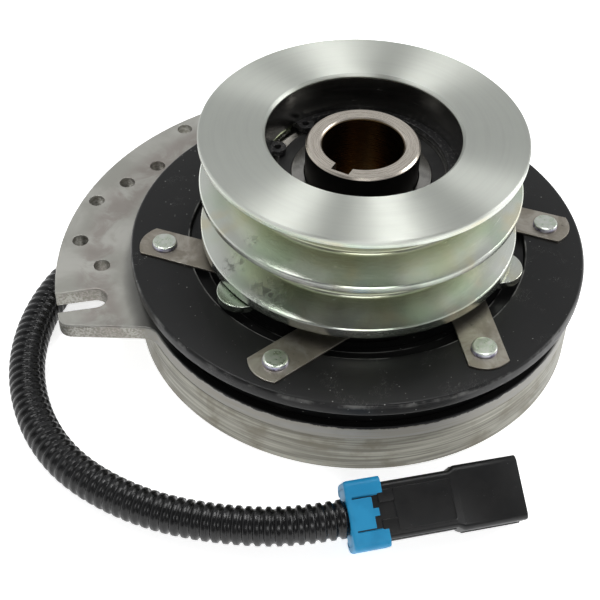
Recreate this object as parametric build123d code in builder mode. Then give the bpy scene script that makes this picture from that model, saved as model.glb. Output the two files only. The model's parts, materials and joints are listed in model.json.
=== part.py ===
"""Electromagnetic power take-off clutch with a double V-belt pulley, lead and plug. Millimetres, +Z up.

The turning axis is Z and the underside of the field body is z = 0. From the bottom up: the fixed field
body with its coil and mounting plate, the keyed hub with the rotor, the armature on its leaf springs,
and the belt pulley on its own bearing."""
from build123d import *
from math import atan2, cos, degrees, hypot, pi, radians, sin, tan
import os

os.makedirs("parts", exist_ok=True)

# Heights of the main layers
shell_top = 16.0
plate_t = 6.0
rotor_face = 29.5
air_gap = 0.5
armature_t = 5.0
spring_t = 0.8
flange_t = 3.0
rim_bottom = 39.5
pulley_top = 83.0
hub_top = 78.0
armature_bottom = rotor_face + air_gap
armature_top = armature_bottom + armature_t
flange_bottom = armature_top + spring_t
flange_top = flange_bottom + flange_t

# Hub and shaft
bore_r = 28.575 / 2
key_w = 6.35
key_depth = 3.2
key_angle = -117.0
hub_r = 20.0
hub_shoulder_r = 24.0

# Ball bearings, 40 x 68 x 15
bearing_out_r = 34.0
bearing_w = 15.0
inner_land_r = 24.6
outer_land_r = 29.6
ball_r = 3.97
ball_pitch_r = (hub_r + bearing_out_r) / 2
ball_count = 12
raceway_r = ball_r + 0.08
cage_t = 2.0
cage_h = 9.8
pocket_play = 0.06
seal_t = 1.0
seal_inset = 0.4
seal_in_r = inner_land_r + 0.3
field_bearing_z = 3.0
pulley_bearing_z = 50.5

# Field body
shell_r = 81.0
shell_wall = 2.8
floor_t = 4.0
lip_r = 31.0
pole_r = 41.0
pole_top = 24.0
coil_in_r = 42.0
coil_out_r = 66.0
coil_top = 23.0
bobbin_t = 1.5

# Mounting plate
ear_r = 111.5
ear_end_angle = 108.0
ear_edge_y = -37.0
slot_angle = -166.5
slot_w = 9.6
slot_end_r = 93.1
hole_r = 3.0
holes = [(106.4, 131.5), (96.4, 145.5), (100.4, 154.3), (106.0, 162.5), (104.6, 175.5), (94.6, -176.8)]

# Rotor
rotor_r = 77.4
rotor_rim_in_r = 68.5
rotor_disc_t = 5.0
rotor_rim_bottom = 8.5
pole_slot_r = 47.5
pole_slot_w = 3.0
pole_slot_arc = 46.0
pole_slots = 6
friction_out_r = 67.0
friction_in_r = 61.0
friction_t = 2.5

# Armature, leaf springs and drive flange
armature_r = 83.0
armature_step_r = 61.5
armature_lip_r = 56.0
armature_hole_r = 53.5
step_drop = 2.8
lip_drop = 3.9
spring_count = 6
spring_angle = -173.4
spring_pin_r = 70.5
spring_turn = 25.2
spring_span = 38.0
spring_w = 14.3
spring_outer_end = 9.0
spring_inner_end = 8.0
spring_end_sag = 2.6
rivet_r = 2.5
rivet_head_r = 4.6
rivet_head_t = 1.7
flange_r = 50.0
flange_bore_r = 30.5
lobe_angle = -140.2
lobe_count = 3
lobe_tip_r = 61.8
lobe_r = 8.6
pin_depth = 6.0

# Pulley
pulley_r = 57.15
groove_r = 45.0
groove_top_w = 16.6
groove_bottom_w = 8.8
land_top = 3.2
land_mid = 2.8
web_bore_r = 30.5
boss_r = 46.0

# Retaining rings
clip_t = 2.4
clip_out_r = 35.3
clip_in_r = 31.3
clip_offset = 1.2
clip_gap_angle = 145.7
clip_gap_w = 13.4
clip_groove_play = 0.1
lug_turn = 16.0
lug_r = 3.1
lug_pin_r = 31.4
lug_hole_r = 1.25

# Lead: convoluted loom from the gland to the plug, with the coil's two wires inside
loom_r = 6.4
loom_z = 6.5
gland_w = 17.0
gland_h = 13.2
gland_l = 20.0
gland_z = 0.2
wire_angle = 156.0
wire_end_r = 84.0
wire_r = 1.3
wire_gap = 3.4
wire_play = 0.2
loom_route = [
    (-83.5, 32.0, 6.5), (-95.5, 23.0, 6.5), (-105.9, 10.8, 6.5), (-113.4, -3.3, 6.5), (-117.9, -19.7, 6.5),
    (-118.9, -37.7, 6.5), (-115.8, -55.4, 6.5), (-108.7, -72.5, 6.5), (-97.9, -87.0, 6.5), (-83.3, -97.9, 6.5),
    (-66.4, -105.9, 6.9), (-48.1, -110.9, 8.3), (-29.9, -113.4, 10.1), (-15.5, -112.5, 10.8), (-3.8, -109.6, 10.8),
]

# Plug, measured along its own axis from the end of the loom; it rests rolled over onto one lower edge
plug_roll = 32.0
body_w = 18.4
body_h = 11.6
body_end = 36.5
shroud_w = 21.2
shroud_h = 12.8
shroud_start = 35.0
shroud_end = 58.0
shroud_wall = 1.5
shroud_floor = 4.0
lock_w = 22.8
lock_l = 12.0
lock_back = 1.6
blade_l = 16.0
blade_w = 2.8
blade_t = 0.8
blade_y = 4.0


def polar(radius, angle):
    return radius * cos(radians(angle)), radius * sin(radians(angle))


def turned(points):
    """Revolves a (radius, height) outline about Z into the part being made."""
    with BuildSketch(Plane.XZ) as outline:
        with BuildLine():
            Polyline(*points, close=True)
        make_face()
    revolve(outline.sketch, axis=Axis.Z)


def ring(out_r, in_r, z_low, z_high, mode=Mode.ADD):
    """Adds or cuts a plain ring about Z between two heights."""
    with BuildSketch(Plane.XY.offset(z_low)) as outline:
        Circle(out_r)
        Circle(in_r, mode=Mode.SUBTRACT)
    extrude(outline.sketch, amount=z_high - z_low, mode=mode)


def save(builder, name):
    builder.part.label = name
    export_step(builder.part, f"parts/{name}.step")


# ------------------------------------------------------------ where the lead starts and ends
gland_heading = degrees(atan2(loom_route[1][1] - loom_route[0][1], loom_route[1][0] - loom_route[0][0]))
plug_heading = degrees(atan2(loom_route[-1][1] - loom_route[-2][1], loom_route[-1][0] - loom_route[-2][0]))
gland_frame = Plane(origin=(*loom_route[0][:2], gland_z), x_dir=(*polar(1, gland_heading), 0), z_dir=(0, 0, 1))
wire_frame = Plane(origin=(*polar(coil_out_r, wire_angle), loom_z), x_dir=(*polar(1, wire_angle), 0))
wire_l = wire_end_r - coil_out_r


def plug_frame(along=0.0, height=0.0):
    """Frame of the plug: X along it, away from the loom, and Z out of its top face."""
    ahead = Vector(*polar(1, plug_heading))
    top = Vector(0, 0, 1).rotate(Axis((0, 0, 0), ahead), plug_roll)
    origin = Vector(*loom_route[-1]) + ahead * along + top * height
    return Plane(origin=origin, x_dir=ahead, z_dir=top)


def plug_bar(start, end, width, height, corner_r, mode=Mode.ADD):
    """Adds or cuts a rounded bar along the plug's axis."""
    frame = plug_frame(start)
    with BuildSketch(Plane(origin=frame.origin, x_dir=frame.y_dir, z_dir=frame.x_dir)) as section:
        RectangleRounded(width, height, corner_r)
    extrude(section.sketch, amount=end - start, mode=mode)


# ------------------------------------------------------------ field body, fixed to the engine
# Steel cup: floor, thin outer wall, and a thick inner pole that seats the field bearing
field_seat_top = field_bearing_z + bearing_w
shell_in_r = shell_r - shell_wall
clip_groove_r = clip_out_r + clip_groove_play
with BuildPart() as field_shell:
    turned([
        (lip_r, 0), (shell_r, 0), (shell_r, shell_top), (shell_in_r, shell_top), (shell_in_r, floor_t),
        (pole_r, floor_t), (pole_r, pole_top), (bearing_out_r, pole_top),
        (bearing_out_r, field_seat_top + clip_t), (clip_groove_r, field_seat_top + clip_t),
        (clip_groove_r, field_seat_top), (bearing_out_r, field_seat_top), (bearing_out_r, field_bearing_z),
        (lip_r, field_bearing_z),
    ])
    bottom_circles = field_shell.edges().filter_by(GeomType.CIRCLE).group_by(Axis.Z)[0]
    chamfer(bottom_circles.sort_by(SortBy.RADIUS)[-1], 0.6)
    with Locations(wire_frame):
        with GridLocations(0, wire_gap, 1, 2):
            Cylinder(wire_r + wire_play, 2 * wire_l, rotation=(0, 90, 0), mode=Mode.SUBTRACT)
save(field_shell, "field_shell")

# Flat plate: a narrow ring on the cup, and a wide ear with an anti-rotation slot and bracket holes
plate_z = Plane.XY.offset(shell_top)
prong = (-((ear_r**2 - ear_edge_y**2) ** 0.5), ear_edge_y)
ear_end = polar(ear_r, ear_end_angle)
prong_angle = 180 + degrees(atan2(-prong[1], -prong[0]))
ring_joint = (-((shell_r**2 - ear_edge_y**2) ** 0.5), ear_edge_y)
slot_reach = ear_r + slot_w
with BuildPart() as mounting_plate:
    with BuildSketch(plate_z) as plate_outline:
        with BuildLine():
            Polyline(polar(shell_r - 1, ear_end_angle - 12), (0, 0), (0, ear_edge_y), prong)
            ThreePointArc(prong, polar(ear_r, (ear_end_angle + prong_angle) / 2), ear_end)
            Line(ear_end, polar(shell_r - 1, ear_end_angle - 12))
        make_face()
        Circle(shell_r)
        corners = plate_outline.vertices()
        fillet(corners.sort_by_distance((*ring_joint, shell_top))[0], 7)
        fillet(plate_outline.vertices().sort_by_distance((*prong, shell_top))[0], 5)
        fillet(plate_outline.vertices().sort_by_distance((*ear_end, shell_top))[0], 9)
        Circle(shell_in_r, mode=Mode.SUBTRACT)
        with Locations(polar((slot_end_r + slot_reach) / 2, slot_angle)):
            SlotOverall(slot_reach - slot_end_r, slot_w, rotation=slot_angle, mode=Mode.SUBTRACT)
        with Locations(*[polar(*hole) for hole in holes]):
            Circle(hole_r, mode=Mode.SUBTRACT)
    extrude(amount=plate_t)
    chamfer(mounting_plate.faces().sort_by(Axis.Z)[-1].outer_wire().edges(), 0.3)
save(mounting_plate, "mounting_plate")

# Moulded spool, open outwards, with the copper winding and the tape around it
with BuildPart() as coil_bobbin:
    turned([
        (coil_in_r, floor_t), (coil_out_r, floor_t), (coil_out_r, floor_t + bobbin_t),
        (coil_in_r + bobbin_t, floor_t + bobbin_t), (coil_in_r + bobbin_t, coil_top - bobbin_t),
        (coil_out_r, coil_top - bobbin_t), (coil_out_r, coil_top), (coil_in_r, coil_top),
    ])
save(coil_bobbin, "coil_bobbin")

with BuildPart() as coil_winding:
    ring(coil_out_r - bobbin_t, coil_in_r + bobbin_t, floor_t + bobbin_t, coil_top - bobbin_t)
save(coil_winding, "coil_winding")

with BuildPart() as coil_tape:
    ring(coil_out_r, coil_out_r - bobbin_t, floor_t + bobbin_t, coil_top - bobbin_t)
save(coil_tape, "coil_tape")

# The winding's two insulated ends, out through the cup's wall into the gland
with BuildPart() as coil_leads:
    with Locations(wire_frame):
        with GridLocations(0, wire_gap, 1, 2):
            Cylinder(wire_r, 2 * wire_l, rotation=(0, 90, 0))
    Cylinder(coil_out_r, shell_top, align=(Align.CENTER, Align.CENTER, Align.MIN), mode=Mode.SUBTRACT)
save(coil_leads, "coil_leads")

# Moulded block on the cup's wall, under the plate, where the loom starts
with BuildPart() as lead_gland:
    with BuildSketch(gland_frame):
        with Locations((-gland_l / 2, 0)):
            RectangleRounded(gland_l, gland_w, 2)
    extrude(amount=gland_h)
    fillet(lead_gland.faces().sort_by(Axis.Z)[-1].edges(), 1)
    Cylinder(shell_r, shell_top, align=(Align.CENTER, Align.CENTER, Align.MIN), mode=Mode.SUBTRACT)
    with Locations(wire_frame):
        with GridLocations(0, wire_gap, 1, 2):
            Cylinder(wire_r, 2 * wire_l, rotation=(0, 90, 0), mode=Mode.SUBTRACT)
save(lead_gland, "lead_gland")

# ------------------------------------------------------------ the two ball bearings and their rings
for place, bearing_z in (("field", field_bearing_z), ("pulley", pulley_bearing_z)):
    bearing_mid = bearing_z + bearing_w / 2
    seat_top = bearing_z + bearing_w

    with BuildPart() as inner_race:
        ring(inner_land_r, hub_r, bearing_z, seat_top)
        end_circles = inner_race.edges().filter_by(GeomType.CIRCLE)
        chamfer(end_circles.sort_by(SortBy.RADIUS)[:2], 0.4)
        with Locations((0, 0, bearing_mid)):
            Torus(ball_pitch_r, raceway_r, mode=Mode.SUBTRACT)
    save(inner_race, f"{place}_bearing_inner_race")

    with BuildPart() as outer_race:
        ring(bearing_out_r, outer_land_r, bearing_z, seat_top)
        end_circles = outer_race.edges().filter_by(GeomType.CIRCLE)
        chamfer(end_circles.sort_by(SortBy.RADIUS)[-2:], 0.4)
        with Locations((0, 0, bearing_mid)):
            Torus(ball_pitch_r, raceway_r, mode=Mode.SUBTRACT)
    save(outer_race, f"{place}_bearing_outer_race")

    with BuildPart() as seals:
        for seal_z in (bearing_z + seal_inset, seat_top - seal_inset - seal_t):
            ring(outer_land_r, seal_in_r, seal_z, seal_z + seal_t)
    save(seals, f"{place}_bearing_seals")

    with BuildPart() as balls:
        with Locations((0, 0, bearing_mid)):
            with PolarLocations(ball_pitch_r, ball_count):
                Sphere(ball_r)
    save(balls, f"{place}_bearing_balls")

    with BuildPart() as cage:
        ring(
            ball_pitch_r + cage_t / 2, ball_pitch_r - cage_t / 2,
            bearing_mid - cage_h / 2, bearing_mid + cage_h / 2,
        )
        with Locations((0, 0, bearing_mid)):
            with PolarLocations(ball_pitch_r, ball_count):
                Cylinder(ball_r + pocket_play, 2 * cage_t, rotation=(0, 90, 0), mode=Mode.SUBTRACT)
    save(cage, f"{place}_bearing_cage")

    # Internal retaining ring: eccentric, split, with two plier lugs
    lugs = [polar(lug_pin_r, clip_gap_angle + side * lug_turn) for side in (-1, 1)]
    with BuildPart() as snap_ring:
        with BuildSketch(Plane.XY.offset(seat_top)):
            Circle(clip_out_r)
            with Locations(polar(clip_offset, clip_gap_angle)):
                Circle(clip_in_r, mode=Mode.SUBTRACT)
            with Locations(polar(clip_out_r, clip_gap_angle)):
                Rectangle(4 * lug_r, clip_gap_w, rotation=clip_gap_angle, mode=Mode.SUBTRACT)
            with Locations(*lugs):
                Circle(lug_r)
            with Locations(*lugs):
                Circle(lug_hole_r, mode=Mode.SUBTRACT)
        extrude(amount=clip_t)
    save(snap_ring, f"{place}_snap_ring")

# ------------------------------------------------------------ hub and rotor, keyed to the shaft
# Keyed sleeve: a bearing runs on each end and the rotor is pressed on its shoulder
with BuildPart() as input_hub:
    turned([
        (bore_r, 0), (hub_r, 0), (hub_r, field_seat_top), (hub_shoulder_r, field_seat_top),
        (hub_shoulder_r, pulley_bearing_z), (hub_r, pulley_bearing_z), (hub_r, hub_top), (bore_r, hub_top),
    ])
    chamfer(input_hub.edges().filter_by(GeomType.CIRCLE).group_by(Axis.Z)[-1], 0.6)
    with BuildSketch():
        with Locations(polar(bore_r, key_angle)):
            Rectangle(2 * key_depth, key_w, rotation=key_angle)
    extrude(amount=hub_top, mode=Mode.SUBTRACT)
save(input_hub, "input_hub")

# Soft steel rotor: a slotted disc with a deep rim that runs inside the cup's wall
disc_bottom = rotor_face - rotor_disc_t
with BuildPart() as rotor_disc:
    turned([
        (hub_shoulder_r, disc_bottom), (rotor_rim_in_r, disc_bottom), (rotor_rim_in_r, rotor_rim_bottom),
        (rotor_r, rotor_rim_bottom), (rotor_r, rotor_face), (hub_shoulder_r, rotor_face),
    ])
    with BuildSketch(Plane.XY.offset(disc_bottom)):
        with PolarLocations(0, pole_slots):
            SlotArc(CenterArc((0, 0), pole_slot_r, 0, pole_slot_arc), pole_slot_w)
    extrude(amount=rotor_disc_t, mode=Mode.SUBTRACT)
    ring(friction_out_r, friction_in_r, rotor_face - friction_t, rotor_face, Mode.SUBTRACT)
save(rotor_disc, "rotor_disc")

with BuildPart() as friction_ring:
    ring(friction_out_r, friction_in_r, rotor_face - friction_t, rotor_face)
save(friction_ring, "friction_ring")

# ------------------------------------------------------------ armature and its leaf springs
spring_angles = [spring_angle + turn * 360 / spring_count for turn in range(spring_count)]
outer_pins = [polar(spring_pin_r, angle) for angle in spring_angles]
inward = spring_pin_r - spring_span * cos(radians(spring_turn))
sideways = spring_span * sin(radians(spring_turn))
inner_pin_turn = degrees(atan2(sideways, inward))
inner_pins = [polar(hypot(inward, sideways), angle + inner_pin_turn) for angle in spring_angles]

# Flat steel plate with a stepped middle, pulled onto the rotor by the coil
with BuildPart() as armature_disc:
    turned([
        (armature_hole_r, armature_bottom), (armature_r, armature_bottom), (armature_r, armature_top),
        (armature_step_r, armature_top), (armature_step_r, armature_top - step_drop),
        (armature_lip_r, armature_top - step_drop), (armature_lip_r, armature_top - lip_drop),
        (armature_hole_r, armature_top - lip_drop),
    ])
    rim_circles = armature_disc.edges().filter_by(GeomType.CIRCLE).sort_by(SortBy.RADIUS)[-2:]
    fillet(rim_circles.sort_by(Axis.Z)[-1], 1.1)
    chamfer(rim_circles.sort_by(Axis.Z)[0], 0.6)
    with BuildSketch(Plane.XY.offset(armature_bottom)):
        with Locations(*outer_pins):
            Circle(rivet_r)
    extrude(amount=armature_t, mode=Mode.SUBTRACT)
save(armature_disc, "armature_disc")

# Six rivets that hold the springs' outer ends to the armature
rivet_foot = 0.5
with BuildPart() as armature_rivets:
    with BuildSketch(Plane.XY.offset(armature_bottom + rivet_foot)):
        with Locations(*outer_pins):
            Circle(rivet_r)
    extrude(amount=flange_bottom - armature_bottom - rivet_foot)
    with BuildSketch(Plane.XY.offset(flange_bottom)):
        with Locations(*outer_pins):
            Circle(rivet_head_r)
    extrude(amount=rivet_head_t)
    fillet(armature_rivets.faces().sort_by(Axis.Z)[-spring_count:].edges(), 0.7)
save(armature_rivets, "armature_rivets")

# Flat straps from the armature's rivets to the drive flange's
strap_half = spring_w / 2
strap_end = spring_span + spring_inner_end
for number, (pin, angle) in enumerate(zip(outer_pins, spring_angles), start=1):
    strap_frame = Plane(
        origin=(*pin, armature_top), x_dir=(*polar(1, angle + 180 - spring_turn), 0), z_dir=(0, 0, 1)
    )
    inner_corner = strap_end - spring_end_sag
    outer_corner = spring_end_sag - spring_outer_end
    with BuildPart() as leaf_spring:
        with BuildSketch(strap_frame):
            with BuildLine():
                Line((outer_corner, strap_half), (inner_corner, strap_half))
                ThreePointArc((inner_corner, strap_half), (strap_end, 0), (inner_corner, -strap_half))
                Line((inner_corner, -strap_half), (outer_corner, -strap_half))
                ThreePointArc((outer_corner, -strap_half), (-spring_outer_end, 0), (outer_corner, strap_half))
            make_face()
            with Locations((0, 0), (spring_span, 0)):
                Circle(rivet_r, mode=Mode.SUBTRACT)
        extrude(amount=spring_t)
    save(leaf_spring, f"leaf_spring_{number}")

# Plate under the pulley, with three rounded lobes that stop the armature's return
with BuildPart() as drive_flange:
    with BuildSketch(Plane.XY.offset(flange_bottom)):
        Circle(flange_r)
        for lobe in range(lobe_count):
            turn = lobe_angle + lobe * 360 / lobe_count
            lobe_reach = lobe_tip_r - lobe_r
            with Locations(polar(lobe_reach / 2, turn)):
                Rectangle(lobe_reach, 2 * lobe_r, rotation=turn)
            with Locations(polar(lobe_reach, turn)):
                Circle(lobe_r)
        Circle(flange_bore_r, mode=Mode.SUBTRACT)
        with Locations(*inner_pins):
            Circle(rivet_r, mode=Mode.SUBTRACT)
    extrude(amount=flange_t)
save(drive_flange, "drive_flange")

# Six rivets that hold the springs' inner ends and the flange to the pulley
with BuildPart() as spring_rivets:
    with BuildSketch(Plane.XY.offset(armature_top - rivet_head_t)):
        with Locations(*inner_pins):
            Circle(rivet_head_r)
    extrude(amount=rivet_head_t)
    fillet(spring_rivets.faces().sort_by(Axis.Z)[:spring_count].edges(), 0.7)
    with BuildSketch(Plane.XY.offset(armature_top)):
        with Locations(*inner_pins):
            Circle(rivet_r)
    extrude(amount=spring_t + flange_t + pin_depth)
save(spring_rivets, "spring_rivets")

# ------------------------------------------------------------ belt pulley
pulley_seat_top = pulley_bearing_z + bearing_w
groove_slant = (groove_top_w - groove_bottom_w) / 2
upper_groove = pulley_top - land_top
lower_groove = upper_groove - groove_top_w - land_mid
groove_points = []
for groove_z in (lower_groove, upper_groove):
    groove_points += [
        (pulley_r, groove_z - groove_top_w), (groove_r, groove_z - groove_top_w + groove_slant),
        (groove_r, groove_z - groove_slant), (pulley_r, groove_z),
    ]

# Turned pulley with two V grooves, bored out for its bearing and retaining ring
with BuildPart() as pulley:
    turned([
        (web_bore_r, flange_top), (boss_r, flange_top), (boss_r, rim_bottom), (pulley_r, rim_bottom),
        *groove_points, (pulley_r, pulley_top), (bearing_out_r, pulley_top),
        (bearing_out_r, pulley_seat_top + clip_t), (clip_groove_r, pulley_seat_top + clip_t),
        (clip_groove_r, pulley_seat_top), (bearing_out_r, pulley_seat_top),
        (bearing_out_r, pulley_bearing_z), (web_bore_r, pulley_bearing_z),
    ])
    circles = pulley.edges().filter_by(GeomType.CIRCLE)
    groove_floors = circles.filter_by(lambda edge: abs(edge.radius - groove_r) < 0.01)
    rim_edges = circles.filter_by(lambda edge: abs(edge.radius - pulley_r) < 0.01)
    fillet(groove_floors, 1.5)
    chamfer(rim_edges, 0.4)
    chamfer(pulley.edges().filter_by(GeomType.CIRCLE).group_by(Axis.Z)[-1].sort_by(SortBy.RADIUS)[0], 0.9)
    with BuildSketch(Plane.XY.offset(flange_top)):
        with Locations(*inner_pins):
            Circle(rivet_r)
    extrude(amount=pin_depth, mode=Mode.SUBTRACT)
save(pulley, "pulley")

# ------------------------------------------------------------ lead and plug
# The convoluted loom as one plain tube: straight runs joined by arcs as large as the runs allow
route = [Vector(*point) for point in loom_route]
bend_radii = []
for before, here, after in zip(route, route[1:], route[2:]):
    turn = radians((here - before).get_angle(after - here))
    bend_radii.append(0.45 * min((here - before).length, (after - here).length) / tan(turn / 2))
with BuildPart() as wire_loom:
    with BuildLine() as loom_path:
        FilletPolyline(*route, radius=bend_radii)
    with BuildSketch(Plane(origin=loom_path.line @ 0, z_dir=loom_path.line % 0)):
        Circle(loom_r)
    sweep()
save(wire_loom, "wire_loom")
loom_length = loom_path.wires()[0].length
print("loom radii", [round(radius) for radius in bend_radii], "length", round(loom_length, 1))
print("loom volume over section x length", round(wire_loom.part.volume / (loom_length * pi * loom_r**2), 4))

# Plug housing: a narrow rear with a ribbed panel on top, and a hollow shroud in front
window_x, deck_end = 12.6, 34.4
with BuildPart() as connector_body:
    plug_bar(lock_back, body_end, body_w, body_h, 1.6)
    plug_bar(shroud_start, shroud_end, shroud_w, shroud_h, 2.2)
    plug_bar(
        shroud_start + shroud_floor, shroud_end,
        shroud_w - 2 * shroud_wall, shroud_h - 2 * shroud_wall, 1.2, Mode.SUBTRACT,
    )
    with Locations(plug_frame((lock_l + deck_end) / 2, body_h / 2)):
        Box(deck_end - lock_l, 13.6, 1.2)
    with Locations(plug_frame(window_x, body_h / 2)):
        Box(5.2, 5.4, 1.6, mode=Mode.SUBTRACT)
    with Locations(plug_frame(shroud_start + shroud_floor / 2)):
        with GridLocations(0, 2 * blade_y, 1, 2):
            Box(shroud_floor + 2, blade_w, blade_t, mode=Mode.SUBTRACT)
save(connector_body, "connector_body")

# Clip over the plug's rear: an end plate, two wrapping arms and a short tongue on top
with BuildPart() as connector_lock:
    plug_bar(0, lock_l, lock_w, shroud_h, 2.0)
    plug_bar(lock_back, lock_l, body_w, body_h, 1.6, Mode.SUBTRACT)
    with Locations(plug_frame(lock_l / 2 + 2.4, shroud_h / 2)):
        with GridLocations(0, 10.2, 1, 2):
            Box(lock_l - 1.6, 0.8, 3.0, mode=Mode.SUBTRACT)
    with Locations(plug_frame(lock_l / 2 + 3.0, -shroud_h / 2)):
        Box(lock_l, 14.0, 3.0, mode=Mode.SUBTRACT)
save(connector_lock, "connector_lock")

# Two flat blades that stand in the shroud
with BuildPart() as connector_terminals:
    with Locations(plug_frame(shroud_start + 1.5 + blade_l / 2)):
        with GridLocations(0, 2 * blade_y, 1, 2):
            Box(blade_l, blade_w, blade_t)
save(connector_terminals, "connector_terminals")
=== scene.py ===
import json
from math import cos, pi, radians, sin
import bmesh
import bpy
import numpy as np
from mathutils import Matrix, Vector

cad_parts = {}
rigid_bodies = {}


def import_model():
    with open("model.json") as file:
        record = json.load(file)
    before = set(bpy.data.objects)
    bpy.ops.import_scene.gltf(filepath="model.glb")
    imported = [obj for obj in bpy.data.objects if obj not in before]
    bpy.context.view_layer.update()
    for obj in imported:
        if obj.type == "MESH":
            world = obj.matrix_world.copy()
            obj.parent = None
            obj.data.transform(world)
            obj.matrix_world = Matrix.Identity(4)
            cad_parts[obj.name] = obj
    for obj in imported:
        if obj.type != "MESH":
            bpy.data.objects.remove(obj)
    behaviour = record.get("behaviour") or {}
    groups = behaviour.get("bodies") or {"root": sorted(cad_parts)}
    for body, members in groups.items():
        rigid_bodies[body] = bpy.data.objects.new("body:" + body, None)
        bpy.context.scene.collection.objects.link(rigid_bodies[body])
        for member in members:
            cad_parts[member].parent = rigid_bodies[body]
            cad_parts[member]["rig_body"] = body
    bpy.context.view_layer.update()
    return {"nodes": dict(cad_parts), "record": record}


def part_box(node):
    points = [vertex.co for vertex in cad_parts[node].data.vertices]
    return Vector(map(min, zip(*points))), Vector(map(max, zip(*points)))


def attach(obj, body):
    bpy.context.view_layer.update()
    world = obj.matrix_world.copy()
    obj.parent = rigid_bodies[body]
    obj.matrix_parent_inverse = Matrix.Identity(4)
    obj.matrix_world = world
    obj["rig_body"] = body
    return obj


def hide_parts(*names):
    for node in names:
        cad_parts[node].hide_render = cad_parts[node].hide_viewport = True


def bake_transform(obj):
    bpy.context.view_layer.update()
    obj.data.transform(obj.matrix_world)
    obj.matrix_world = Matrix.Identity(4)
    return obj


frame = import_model()
nodes = frame["nodes"]
mm = 0.001
print("frame loaded:", len(nodes), "nodes")


# places read from the frame, all in millimetres
def spanOf(node):
    low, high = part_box(node)
    return np.array(low) / mm, np.array(high) / mm


def ringOf(node):  # inner and outer radius, lowest and highest point of a piece turned about Z
    points = np.empty(len(nodes[node].data.vertices) * 3)
    nodes[node].data.vertices.foreach_get("co", points)
    points = points.reshape(-1, 3) / mm
    radius = np.hypot(points[:, 0], points[:, 1])
    return radius.min(), radius.max(), points[:, 2].min(), points[:, 2].max()


def polarPoint(radius, degreesRound, height=0.0):
    return np.array([radius * cos(radians(degreesRound)), radius * sin(radians(degreesRound)), height])


# shapes: arrays in, closed meshes out
def gridFaces(rows, columns, closeRows=False, closeColumns=True, start=0):
    # quads between neighbouring rows and columns of a grid of points, joined round where it closes
    i, j = np.meshgrid(np.arange(rows - (not closeRows)), np.arange(columns - (not closeColumns)), indexing="ij")
    down, across = (i + 1) % rows, (j + 1) % columns
    quads = np.stack([i * columns + j, down * columns + j, down * columns + across, i * columns + across], -1)
    return quads.reshape(-1, 4) + start


def roundCorners(corners, steps=4):
    # each (x, y, radius) corner becomes an arc tangent to both of its sides: centre + slerp(start, end)
    points, wanted = np.array([c[:2] for c in corners], float), np.array([c[2] for c in corners], float)
    toLast, toNext = np.roll(points, 1, 0) - points, np.roll(points, -1, 0) - points
    lastLength, nextLength = np.linalg.norm(toLast, axis=1), np.linalg.norm(toNext, axis=1)
    toLast, toNext = toLast / lastLength[:, None], toNext / nextLength[:, None]
    half = np.arccos(np.clip((toLast * toNext).sum(1), -1, 1)) / 2
    reach = np.minimum(wanted / np.tan(half), 0.48 * np.minimum(lastLength, nextLength))
    radius = np.maximum(reach * np.tan(half), 1e-9)
    middle = toLast + toNext
    centre = points + middle / np.linalg.norm(middle, axis=1)[:, None] * (radius / np.sin(half))[:, None]
    start, end = points + toLast * reach[:, None] - centre, points + toNext * reach[:, None] - centre
    turn = np.maximum(pi - 2 * half, 1e-6)[:, None]
    share = np.linspace(0, 1, steps + 1)[None, :]
    a, b = np.sin((1 - share) * turn) / np.sin(turn), np.sin(share * turn) / np.sin(turn)
    return (centre[:, None] + start[:, None] * a[..., None] + end[:, None] * b[..., None]).reshape(-1, 2)


def turnedShape(profile, segments=256, closed=True):
    # (radius, height) profile carried round Z: x = r cos a, y = r sin a, z = h
    angle = np.arange(segments) * 2 * pi / segments
    r, h = profile[:, 0][:, None], profile[:, 1][:, None]
    points = np.stack([r * np.cos(angle), r * np.sin(angle), h + 0 * angle], -1).reshape(-1, 3)
    return points, gridFaces(len(profile), segments, closeRows=closed).tolist()


def slabShape(upper, lower, keep=None):
    # a sheet with thickness: two grids of the same size, faces where keep is true, walls round what is kept
    rows, columns = upper.shape[:2]
    keep = np.ones((rows - 1, columns - 1), bool) if keep is None else keep
    index, count = np.arange(rows * columns).reshape(rows, columns), rows * columns
    a, b, c, d = index[:-1, :-1], index[1:, :-1], index[1:, 1:], index[:-1, 1:]
    around = np.pad(keep, 1)
    sides = [(a, b, around[1:-1, :-2]), (b, c, around[2:, 1:-1]), (c, d, around[1:-1, 2:]), (d, a, around[:-2, 1:-1])]
    walls = [np.stack([p, q, q + count, p + count], -1)[keep & ~beyond] for p, q, beyond in sides]
    top = np.stack([a, b, c, d], -1)[keep]
    faces = np.concatenate([top, top[:, ::-1] + count, *walls])
    return np.concatenate([upper.reshape(-1, 3), lower.reshape(-1, 3)]), faces.tolist()


def barSection(halfWidth, halfHeight, corner, perCorner=6):
    # rounded rectangle as arrays: sign * (half - corner) + corner * (cos, sin)
    angle = np.linspace(0, pi / 2, perCorner)[None, :] + np.arange(4)[:, None] * pi / 2
    signY, signZ = np.array([1, -1, -1, 1])[:, None], np.array([1, 1, -1, -1])[:, None]
    w, h, r = (np.asarray(v, float)[:, None, None] for v in (halfWidth, halfHeight, corner))
    y = signY * (w - r) + r * np.cos(angle)
    z = signZ * (h - r) + r * np.sin(angle)
    return y.reshape(len(w), -1), z.reshape(len(w), -1)


def barShape(stations):
    # rounded bar: (x, half width, half height, corner radius) stations, lofted and capped at both ends
    x, w, h, r = (np.array(column, float) for column in zip(*stations))
    y, z = barSection(w, h, r)
    points = np.stack([np.repeat(x, y.shape[1]).reshape(y.shape), y, z], -1)
    rows, columns = y.shape
    faces = gridFaces(rows, columns).tolist()
    faces += [list(range(columns)), list(range((rows - 1) * columns, rows * columns))[::-1]]
    return points.reshape(-1, 3), faces


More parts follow.
